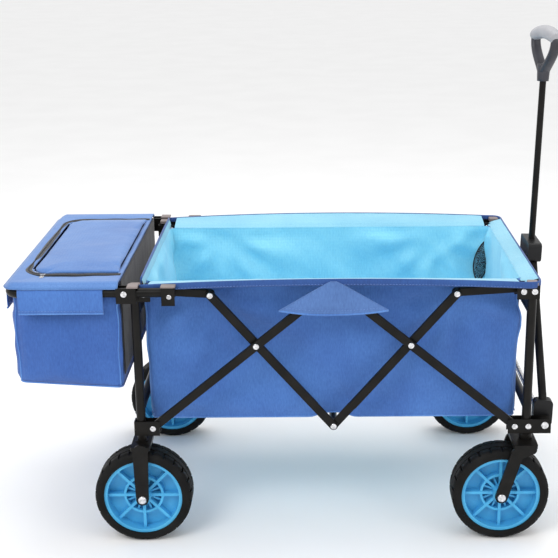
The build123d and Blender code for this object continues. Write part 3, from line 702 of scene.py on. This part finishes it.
def hem_stitches(thread):
    """A row of stitches along the rim's bound edge, on each side."""
    seam = []
    for x, y in rim_route()[:60]:
        outward = 0.0019 if y > 0 else -0.0019
        seam.append((x, y * (1 + 0.0009 / HEM_Y) + outward, rim_height(x) - HEM_HEIGHT + 0.003))
    left = [(x, -y, z) for x, y, z in seam]
    return [stitches("hem_stitches_right", seam, thread, "rear_frame"),
            stitches("hem_stitches_left", left, thread, "rear_frame")]


def basket(materials):
    """The whole cloth basket."""
    royal, sky, thread = materials["royal"], materials["sky"], materials["thread"]
    outer, (bottom, corners) = tub_wall("tub_outer", 0.0, royal)
    lining = tub_wall("tub_lining", CLOTH, sky)[0]
    underside = tub_underside(royal)
    # The bound edges take the darkened hem cloth: painted shade under the rim.
    pieces = [outer, lining, underside, rim_hem(materials["hem"]), rear_hem(materials["hem"])]
    pads = floor_pads(sky)
    pieces += pads
    # The flares take the darkened copy of the lining: painted shade.
    flares = lining_flare(materials["flare"])
    flares.append(end_flare("lining_flare_front", TUB_HIGH.x - CLOTH - 0.0023, HEM_FRONT - 0.002,
                            RIM_CORNER_Z, materials["flare"]))
    flares.append(end_flare("lining_flare_rear", TUB_LOW.x + CLOTH + 0.0023, TUB_LOW.x + 0.001,
                            RIM_CORNER_Z + 0.004, materials["flare"]))
    pieces += flares
    pieces += net_pocket(materials["net"], materials["charcoal"])
    pieces += hem_stitches(thread)
    tub_piping = wall_piping("tub", bottom, corners, materials["piping"], "rear_frame")
    pieces += tub_piping
    for side in (-1, 1):
        pieces += side_flap(side, materials["flap"], materials["piping"], thread)
    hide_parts("basket_tub", "floor_board", "side_flaps")
    squash_with_fold(pieces)


def squash_with_fold(pieces):
    """Give each cloth piece its own copy of its mesh."""
    for piece in pieces:
        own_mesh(piece)


def wall_piping(name, bottom, corners, material, body):
    """Piping sewn along a wall's bottom edge and up its corners."""
    bead = round_section(PIPING_RADIUS, PIPING_RADIUS, 8)
    pieces = [sweep(f"{name}_bottom_piping", bottom, bead, material, body, closed=True)]
    for index, line in enumerate(corners):
        pieces.append(sweep(f"{name}_corner_piping_{index}", line, bead, material, body,
                            up=(1, 0, 0)))
    return pieces


# Cooler

BAG_LOW, BAG_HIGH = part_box("cooler_bag")
LID_LOW, LID_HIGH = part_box("cooler_lid")
RACK_LOW, RACK_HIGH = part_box("cooler_rack")
SLEEVE_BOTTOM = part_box("cooler_sleeves")[0].z
TUBE_RADIUS = (RACK_HIGH.z - RACK_LOW.z) / 2
BAG_DROP = 0.019
BAG_SLANT = 0.014
LID_HALF = (LID_HIGH.y - LID_LOW.y) / 2
LID_CORNER = 0.042
LID_SWELL = 0.005
ZIP_OFFSET = 0.0045
TURNED_EDGE = 0.0105


def bag_outline(grow):
    """The bag's rounded outline, a little fuller half-way up."""
    return rounded_loop((BAG_LOW.x - grow - 0.010, BAG_HIGH.x - 0.001),
                        (BAG_LOW.y - grow * 0.4, BAG_HIGH.y + grow * 0.4), CORNER_RADIUS, 0.012)


def bag_slack(x, y, z, out_x, out_y, share):
    """How far the bag's cloth stands in or out of its flat wall, at a share of its height."""
    along = x if abs(out_y) > 0.5 else y
    slack = 0.011 * soft_noise(along, z, 11 + out_y * 2 + out_x, 7.5) - 0.001
    slack += 0.0035 * soft_noise(along + z, z * 0.6, 15 + out_y, 19.0)
    slack -= 0.0035 * exp(-((share - 0.74) / 0.05) ** 2)
    return slack * (ramp(share, 0, 0.1) * (1 - ramp(share, 0.93, 1.0)))


def cooler_walls(material, piping):
    """The bag's upright sides: padded, slack between its seams, with a slanting bottom edge."""
    rows = 26
    points = []
    for row in range(rows):
        share = row / (rows - 1)
        z = BAG_LOW.z + (BAG_HIGH.z - BAG_LOW.z) * share
        for x, y, out_x, out_y in bag_outline(0.002 * sin(pi * share)):
            slant = (BAG_SLANT * (BAG_HIGH.x - x) / (BAG_HIGH.x - BAG_LOW.x) - BAG_DROP) * (1 - share)
            move = bag_slack(x, y, z, out_x, out_y, share) - 0.001 - 0.004 * (1 - ramp(row, 0, 2))
            if out_x > 0.7:
                move = min(move, 0)
            points.append((x + out_x * move, y + out_y * move, z + slant))
    count = len(points) // rows
    walls = mesh_piece("cooler_walls", points, grid_faces(rows, count, wrap=True), material,
                       "cooler_rack")
    edges = wall_piping("cooler", *piped_edges(bag_outline(0), points, rows), piping, "cooler_rack")
    thicken(walls, 0.002)
    return walls


def cooler_bottom(material):
    """The bag's floor cloth, which slants with the bottom edge of its walls."""
    columns, rows = 26, 60
    border = 0.004
    points = []
    for row in range(rows):
        y = BAG_LOW.y + border + (BAG_HIGH.y - BAG_LOW.y - 2 * border) * row / (rows - 1)
        for column in range(columns):
            share = column / (columns - 1)
            x = BAG_LOW.x + border + (BAG_HIGH.x - BAG_LOW.x - 2 * border) * share
            dome = sin(pi * share) * sin(pi * row / (rows - 1))
            ripple = 0.0015 * soft_noise(x, y, 21.0, 14.0)
            z = BAG_LOW.z - 0.017 + BAG_SLANT * (1 - share) - 0.001 * dome ** 0.6 + ripple * dome
            points.append((x, y, z))
    bottom = grid_piece("cooler_bottom", points, rows, material, "cooler_rack")


def top_panel(material):
    """The bag's top, laid over the rack tube on three sides, with the lid's opening cut out."""
    columns, rows = 46, 110
    clear = 0.0026
    bend = 0.034
    reach_y = -RACK_LOW.y + clear
    rear_x = RACK_LOW.x - clear
    points = []
    for row in range(rows):
        y = -reach_y + 2 * reach_y * row / (rows - 1)
        corner = max(0.0, abs(y) - reach_y + bend)
        row_rear = rear_x + bend - max(bend ** 2 - corner ** 2, 0) ** 0.5
        for column in range(columns):
            share = column / (columns - 1)
            x = row_rear + (BAG_HIGH.x - 0.001 - row_rear) * share
            edge = min(x - row_rear, reach_y - abs(y))
            dip = 0.004 * ramp(edge, 0.03, 0.09) * (1 - 0.6 * ramp(x, BAG_HIGH.x - 0.05, BAG_HIGH.x))
            fall = TURNED_EDGE * (1 - ramp(edge, 0.0, 0.016))
            ripple = 0.0016 * soft_noise(x, y, 31.0, 12.0) * ramp(edge, 0.01, 0.05)
            points.append((x, y, RACK_HIGH.z + 0.0125 - dip - fall + ripple))
    faces = []
    for face in grid_faces(rows, columns):
        middle = sum((Vector(points[index]) for index in face), Vector()) / 4
        if not inside_lid(middle.x, middle.y, 0.005):
            faces.append(face)
    panel = mesh_piece("cooler_top", points, faces, material, "cooler_rack")
    thicken(panel, 0.0022)


def inside_lid(x, y, margin):
    """True where a point lies inside the lid's outline by at least the margin."""
    gap_x = x - LID_LOW.x - margin
    gap_y = LID_HALF - abs(y) - margin
    if gap_x < 0 or gap_y < 0 or x > LID_HIGH.x - 0.004:
        return False
    if gap_x < LID_CORNER and gap_y < LID_CORNER:
        return hypot(LID_CORNER - gap_x, LID_CORNER - gap_y) <= LID_CORNER
    return True


def zip_line():
    """From the hinge edge around the lid's two rear corners and back, a little wavy along its sides."""
    half = LID_HALF + ZIP_OFFSET
    rear = LID_LOW.x - ZIP_OFFSET
    radius = LID_CORNER + ZIP_OFFSET
    line = []
    for index in range(17):
        wave = 0.0016 * sin(index * 0.75) * ramp(index, 0, 3)
        line.append((LID_HIGH.x + 0.002 - 0.008 * index, -half - wave))
    for index in range(9):
        angle = radians(90 * index / 8)
        line.append((rear + radius - radius * sin(angle), -half + radius - radius * cos(angle)))
    return line + [(x, -y) for x, y in reversed(line)]


def lid_panel(material):
    """The lid: a soft crowned panel with rounded rear corners, cut smaller than it swells to."""
    half = LID_HALF - LID_SWELL
    first_x = LID_LOW.x + LID_SWELL
    columns, rows = 34, 70
    points = []
    for row in range(rows):
        lengthwise = 2 * row / (rows - 1) - 1
        y = lengthwise * half
        corner = max(0.0, abs(y) - (half - LID_CORNER))
        rear = first_x + LID_CORNER - max(LID_CORNER ** 2 - corner ** 2, 0) ** 0.5
        for column in range(columns):
            share = column / (columns - 1)
            x = rear + (LID_HIGH.x - rear) * share
            edge = min((x - rear) + 0.004, half - abs(y) + 0.004)
            crown = 0.0065 * ramp(edge, 0, 0.07)
            ripple = 0.0022 * soft_noise(x * 0.8, y, 41.0, 10.0) * ramp(edge, 0, 0.05)
            points.append((x, y, LID_LOW.z + 0.0030 + crown + ripple))
    panel = grid_piece("lid_panel", points, rows, material, "cooler_lid")
    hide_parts("cooler_lid")
    thicken(panel, 0.006)
    puff(panel, 0.004, 0.004)
    return panel


def zip_parts(tape, teeth):
    """The zip: a dark tape on the bag all round the lid, and a row of coil teeth."""
    path = [(x, y, LID_LOW.z + 0.0026) for x, y in zip_line()]
    sweep("zip_tape", path, round_section(0.0080, 0.0018, 10, 2.4), tape, "cooler_rack")
    points = []
    faces = []
    places = spread([(x, y, LID_LOW.z + 0.0044) for x, y in zip_line()], 0.0028)
    for place, after in zip(places, places[1:]):
        along = (after - place).normalized()
        side = along.cross(Vector((0, 0, 1)))
        start = len(points)
        for forward in (0, 0.0014):
            for across, up in ((-0.0019, 0), (-0.0012, 0.0009), (0.0012, 0.0009), (0.0019, 0)):
                points.append(place + along * forward + side * across + Vector((0, 0, up)))
        faces += grid_faces(2, 4, start=start)
        faces += [(start, start + 1, start + 2, start + 3), (start + 7, start + 6, start + 5, start + 4)]
    mesh_piece("zip_teeth", points, faces, teeth, "cooler_rack", smooth=False)


def sleeve(name, start, end, out, material, piping, thread):
    """A cloth sleeve over one straight run of the rack tube, sewn to itself below."""
    wrap = TUBE_RADIUS + 0.0022
    profile = []
    for index in range(9):
        angle = radians(200 - 200 * index / 8)
        profile.append((wrap * cos(angle), wrap * sin(angle)))
    turns = len(profile)
    drop = RACK_LOW.z + TUBE_RADIUS - SLEEVE_BOTTOM
    profile += [(wrap * (1 - 0.10 * share), -drop * share) for share in (0.2, 0.4, 0.6, 0.8, 1.0)]
    columns = 40
    start, end = Vector(start), Vector(end)
    points = []
    for level, (across, up) in enumerate(profile):
        for column in range(columns):
            share = column / (columns - 1)
            place = start.lerp(end, share)
            ripple = 0.0012 * soft_noise(share * 3, up * 10, 51 + out.x, 5.0) if level >= turns else 0
            points.append(place + out * (across + ripple) + Vector((0, 0, up)))
    piece = grid_piece(name, points, len(profile), material, "cooler_rack")
    thicken(piece, 0.0014)
    hem = [Vector(point) + out * 0.0004 for point in points[-columns:]]
    edge = sweep(f"{name}_piping", hem, round_section(PIPING_RADIUS, 0.0020, 8), piping, "cooler_rack")
    seam = [point + out * 0.0017 + Vector((0, 0, 0.006)) for point in hem]
    sewing = stitches(f"{name}_stitches", seam, thread, "cooler_rack")


def sleeves(material, piping, thread):
    """The rack tube's three sleeves: along each arm, and along its rear run."""
    axis_z = RACK_LOW.z + TUBE_RADIUS
    rack_y = -RACK_LOW.y - TUBE_RADIUS
    rack_x = RACK_LOW.x + TUBE_RADIUS
    for name, side in (("right", -1), ("left", 1)):
        start = (rack_x + 0.021, side * rack_y, axis_z)
        end = (rack_x + 0.191, side * rack_y, axis_z)
        sleeve(f"arm_sleeve_{name}", start, end, Vector((0, side, 0)), material, piping, thread)
    reach = rack_y - 0.033
    sleeve("rear_sleeve", (rack_x, -reach, axis_z), (rack_x, reach, axis_z), Vector((-1, 0, 0)), material,
           piping, thread)


def back_panel(material):
    """The dark quilted panel on the bag's side towards the basket."""
    low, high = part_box("cooler_back_panel")
    columns, rows = 60, 24
    points = []
    for row in range(rows):
        z = low.z + (high.z - low.z) * row / (rows - 1)
        for column in range(columns):
            y = low.y + (high.y - low.y) * column / (columns - 1)
            edge = min(row, rows - 1 - row, column, columns - 1 - column)
            puff = 0.0012 * ramp(edge, 0, 3) + 0.0006 * soft_noise(y, z, 61.0, 22.0)
            points.append((low.x + 0.0009 + puff, y, z))
    panel = grid_piece("cooler_back", points, rows, material, "cooler_rack")
    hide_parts("cooler_back_panel")
    return thicken(panel, 0.0012)


def cooler(materials):
    royal, thread, piping = materials["royal"], materials["thread"], materials["piping"]
    # The bag's walls and bottom take the darkened copy of the royal cloth: painted shade.
    walls = cooler_walls(materials["bag"], piping)
    cooler_bottom(materials["bag"])
    # The top panel and the lid take the lightened copy of the royal cloth: painted light from above.
    top_panel(materials["top"])
    lid = lid_panel(materials["top"])
    zip_parts(materials["charcoal"], materials["coil"])
    back = back_panel(materials["charcoal"])
    sleeves(royal, piping, thread)
    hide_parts("cooler_bag", "cooler_sleeves")
    hook_trim(materials["taupe"], materials["zinc"])


def hook_trim(taupe, zinc_plate):
    """A moulded cover and a rivet head on each of the rack's front hooks."""
    low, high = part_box("stub_hooks")
    middle_x = high.x - 0.0115
    span = high.x - low.x + 0.002
    sizes = (1, 0.97, 0.8, 0.5, 0.12)
    for name, side in (("right", -1), ("left", 1)):
        face = -low.y * side
        path = [(low.x - 0.001 + span * index / 12, side * (-low.y - 0.012), high.z + 0.0014)
                for index in range(13)]
        sweep(f"hook_cover_{name}", path, round_section(0.0125, 0.0022, 16, 3.5), taupe, "cooler_rack",
              scale=lambda share: (1 - 0.1 * abs(2 * share - 1) ** 6,) * 2)
        rivet = [(middle_x, face + side * 0.0032 * share, high.z - 0.018)
                 for share in (0, 0.35, 0.7, 0.92, 1)]
        sweep(f"hook_rivet_{name}", rivet, round_section(0.0055, 0.0055, 20), zinc_plate, "cooler_rack",
              scale=lambda share: (sizes[round(share * 4)],) * 2)


# Pull grip

def pull_grip(grey, dark):
    """A D-shaped grip: a socket that splits into two flattened arms under a fat cross bar."""
    low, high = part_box("d_grip")
    lean, turn = radians(1.3), radians(14)
    length = high.z - low.z
    half = 0.056
    up = Vector((sin(lean), 0, cos(lean)))
    across = Vector((-sin(turn), cos(turn), 0))
    foot = Vector(((low.x + high.x) / 2, 0, high.z)) - up * length

    def place(side, height):
        return foot + across * side + up * height

    socket = [place(0, 0.001 + 0.036 * index / 6) for index in range(7)]
    sweep("grip_socket", socket, round_section(0.0125, 0.0125, 20), dark, "handle_pole",
          up=(0, 1, 0), scale=lambda share: (1 + 0.15 * share, 1 + 0.15 * share))
    for name, side in (("right", -1), ("left", 1)):
        path = []
        for index in range(19):
            share = index / 18
            reach = half * (0.08 + 0.80 * sin(share * pi * 0.6) ** 1.1)
            path.append(place(side * reach, 0.022 + (length - 0.044) * share))
        sweep(f"grip_arm_{name}", path, round_section(0.0105, 0.0065, 16, 2.6), dark, "handle_pole",
              up=tuple(across), scale=lambda share: (1.15 - 0.2 * share, 1))
    bar = []
    for index in range(25):
        share = 2 * index / 24 - 1
        sag = 0.011 * share * share
        bar.append(place(share * half * 0.97, length - 0.0165 - sag))
    grip_bar = sweep("grip_bar", bar, round_section(0.0150, 0.0140, 24, 2.3), grey, "handle_pole",
                     scale=lambda share: (0.80 + 0.20 * sin(pi * share) ** 0.5,) * 2)
    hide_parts("d_grip")


# Finishing the CAD parts

def paint_frame(materials):
    """Give every shown CAD node the finish of its record slot."""
    finishes = {
        "black_powder_coat": materials["coat"],
        "zinc_rivet": materials["zinc"],
        "taupe_moulding": materials["taupe"],
        "black_moulding": materials["black"],
        "light_blue_rim": materials["rim"],
        "black_tyre": materials["tyre"],
    }
    slots = {part["node"]: part["material_slot"] for part in frame["record"]["subparts"]}
    for name, thing in frame["nodes"].items():
        finish = finishes.get(slots.get(name))
        if finish is None:
            continue
        thing.data.materials.clear()
        thing.data.materials.append(finish)


# Studio

def area_light(name, place, aim, size, power):
    data = bpy.data.lights.new(name, "AREA")
    data.energy = power
    data.shape = "RECTANGLE"
    data.size, data.size_y = size
    light = bpy.data.objects.new(name, data)
    light.location = place
    light.rotation_euler = (Vector(aim) - Vector(place)).to_track_quat("-Z", "Y").to_euler()
    bpy.context.scene.collection.objects.link(light)


def studio():
    """A pale floor that fades into a pale world, lit by broad soft lights."""
    mesh = bpy.data.meshes.new("studio_floor")
    reach = 60.0
    corners = [(-reach, -reach, 0), (reach, -reach, 0), (reach, reach, 0), (-reach, reach, 0)]
    mesh.from_pydata(corners, [], [(0, 1, 2, 3)])
    floor = bpy.data.objects.new("studio_floor", mesh)
    bpy.context.scene.collection.objects.link(floor)
    material, tree, shader = new_material("studio_paper")
    tint(tree, shader, mapped_noise(tree, 3.0, 2.0), (0.90, 0.90, 0.90), (0.92, 0.92, 0.92))
    shader.inputs["Roughness"].default_value = 0.9
    floor.data.materials.append(material)
    world = bpy.data.worlds.new("studio_world")
    world.use_nodes = True
    background = world.node_tree.nodes["Background"]
    background.inputs["Color"].default_value = (1.0, 1.0, 1.0, 1)
    background.inputs["Strength"].default_value = 0.95
    bpy.context.scene.world = world
    bpy.context.scene.view_settings.view_transform = "Standard"
    area_light("key", (-1.6, -2.6, 3.0), (0, 0, 0.35), (1.6, 1.6), 52)
    area_light("fill", (2.4, -2.0, 1.8), (0, 0, 0.4), (1.6, 1.6), 12)
    area_light("top", (0.2, 0.8, 3.2), (0, 0, 0.4), (2.2, 2.2), 40)


def camera():
    data = bpy.data.cameras.new("camera")
    data.lens = CAMERA_LENS
    data.shift_x, data.shift_y = CAMERA_SHIFT
    thing = bpy.data.objects.new("camera", data)
    aim = Matrix.Rotation(radians(CAMERA_YAW), 4, "Z")
    aim = aim @ Matrix.Rotation(radians(90 - CAMERA_PITCH), 4, "X")
    aim = aim @ Matrix.Rotation(radians(CAMERA_ROLL), 4, "Z")
    thing.matrix_world = Matrix.Translation(Vector(CAMERA_PLACE) + Vector((MIDDLE_X, 0, 0))) @ aim
    bpy.context.scene.collection.objects.link(thing)
    bpy.context.scene.camera = thing


camera()
studio()
MATERIALS = {
    "royal": fabric("royal_cloth", ROYAL, ROYAL_DEEP),
    "bag": fabric("bag_cloth_painted_shade", BAG_PAINTED_SHADE, BAG_DEEP_PAINTED_SHADE),
    "hem": fabric("hem_binding_painted_shade", HEM_PAINTED_SHADE, HEM_DEEP_PAINTED_SHADE, 0.0008),
    "sky": fabric("sky_lining", SKY, SKY_DEEP, roughness=0.6),
    "flare": fabric("flare_lining_painted_shade", FLARE_PAINTED_SHADE, FLARE_DEEP_PAINTED_SHADE, roughness=0.6),
    "charcoal": fabric("charcoal_cloth", (0.013, 0.013, 0.015), CHARCOAL, 0.0008),
    # The cooler's top cloth is the royal cloth lightened: painted light where the top faces the lamps
    # above.
    "top": fabric("cooler_top_painted_light_cloth", (0.085, 0.200, 0.470), (0.064, 0.160, 0.410)),
    "flap": fabric("flap_cloth", (0.085, 0.180, 0.430), (0.066, 0.145, 0.360)),
    "piping": fabric("piping_cloth", PIPING, ROYAL, 0.0008),
    "thread": coloured_thread(),
    "net": netting(),
    "coat": powder_coat(),
    "zinc": zinc(),
    "taupe": moulding("taupe_plastic", (0.17, 0.14, 0.135), (0.26, 0.22, 0.215)),
    "black": moulding("black_plastic", (0.005, 0.005, 0.0055), (0.010, 0.010, 0.011)),
    "coil": moulding("zip_coil", (0.010, 0.010, 0.011), (0.030, 0.030, 0.032), 0.35),
    "grip_light": moulding("grip_light", (0.27, 0.27, 0.29), (0.40, 0.40, 0.42), 0.5, 900.0, 0.4),
    "grip_dark": moulding("grip_dark", (0.030, 0.030, 0.036), (0.060, 0.060, 0.070), 0.34),
    "rim": moulding("rim_plastic", (0.055, 0.34, 0.63), (0.085, 0.44, 0.74), 0.33, 700.0, 0.15),
    "tyre": rubber(),
}
paint_frame(MATERIALS)
basket(MATERIALS)
cooler(MATERIALS)
pull_grip(MATERIALS["grip_light"], MATERIALS["grip_dark"])
